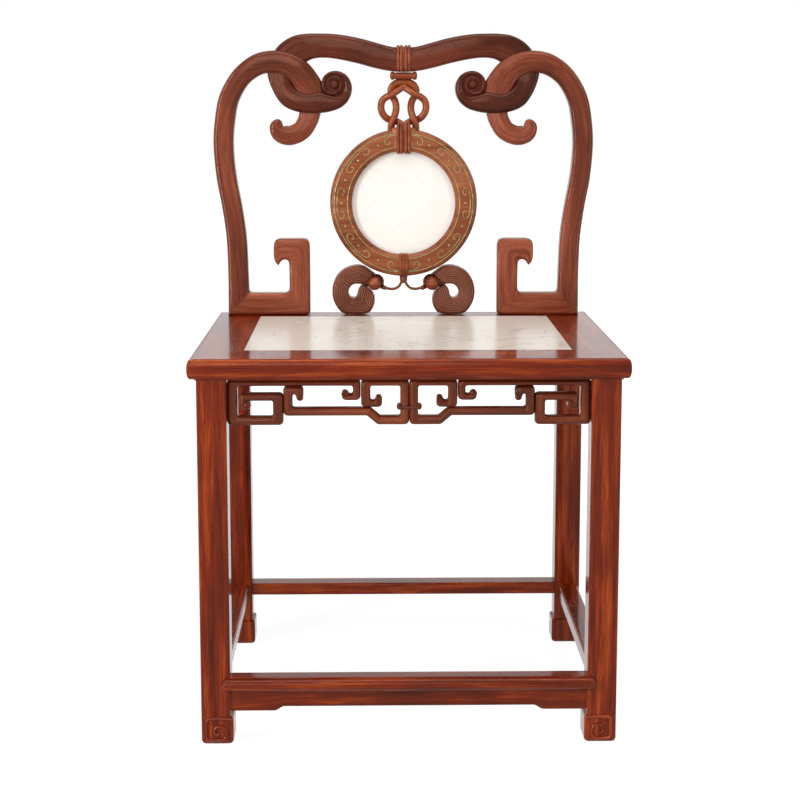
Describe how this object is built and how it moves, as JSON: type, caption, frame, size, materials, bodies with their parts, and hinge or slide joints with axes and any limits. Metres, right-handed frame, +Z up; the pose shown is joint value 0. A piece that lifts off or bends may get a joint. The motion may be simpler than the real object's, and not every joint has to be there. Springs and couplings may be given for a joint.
{
  "type": "side chair",
  "caption": "Armless hardwood chair with a marble seat panel, a back of interlaced ribbon straps, a hanging marble plaque and openwork scroll aprons.",
  "frame": {"origin": "on the floor below the middle of the chair", "axes": "+Z up, -Y to the front of the seat, +X to the viewer's right when the chair faces the viewer"},
  "size_m": [0.5602, 0.4528, 0.9184],
  "materials": {
    "frame_wood": "polished reddish-brown hardwood",
    "carved_wood": "polished carved hardwood",
    "ring_wood": "polished lighter hardwood with fine wire inlay",
    "inner_wood": "plain waxed hardwood",
    "seat_marble": "polished cream marble",
    "plaque_marble": "honed near-white marble"
  },
  "bodies": {
    "root": {"back_foot_left": "frame_wood", "back_foot_right": "frame_wood", "back_hook_left": "frame_wood", "back_hook_right": "frame_wood", "back_stile_left": "frame_wood", "back_stile_right": "frame_wood", "crest_binding": "carved_wood", "crest_rail": "frame_wood", "front_fret_inner_left": "frame_wood", "front_fret_inner_right": "frame_wood", "front_fret_outer_left": "frame_wood", "front_fret_outer_right": "frame_wood", "front_fret_tie": "frame_wood", "hanging_knot": "carved_wood", "knot_spool": "carved_wood", "left_fret_inner_front": "frame_wood", "left_fret_inner_rear": "frame_wood", "left_fret_outer_front": "frame_wood", "left_fret_outer_rear": "frame_wood", "left_fret_tie": "frame_wood", "leg_front_left": "frame_wood", "leg_front_right": "frame_wood", "leg_rear_left": "frame_wood", "leg_rear_right": "frame_wood", "plaque_binding_bottom": "carved_wood", "plaque_binding_top": "carved_wood", "plaque_marble": "plaque_marble", "plaque_rear_ring": "ring_wood", "plaque_ring": "ring_wood", "rear_apron": "inner_wood", "right_fret_inner_front": "frame_wood", "right_fret_inner_rear": "frame_wood", "right_fret_outer_front": "frame_wood", "right_fret_outer_rear": "frame_wood", "right_fret_tie": "frame_wood", "seat_batten_left": "inner_wood", "seat_batten_right": "inner_wood", "seat_marble": "seat_marble", "seat_rail_front": "frame_wood", "seat_rail_left": "frame_wood", "seat_rail_rear": "frame_wood", "seat_rail_right": "frame_wood", "stretcher_apron": "frame_wood", "stretcher_front": "frame_wood", "stretcher_left": "frame_wood", "stretcher_rear": "frame_wood", "stretcher_right": "frame_wood", "tassel_cord": "carved_wood", "tassel_left": "carved_wood", "tassel_right": "carved_wood"}
  },
  "joints": []
}
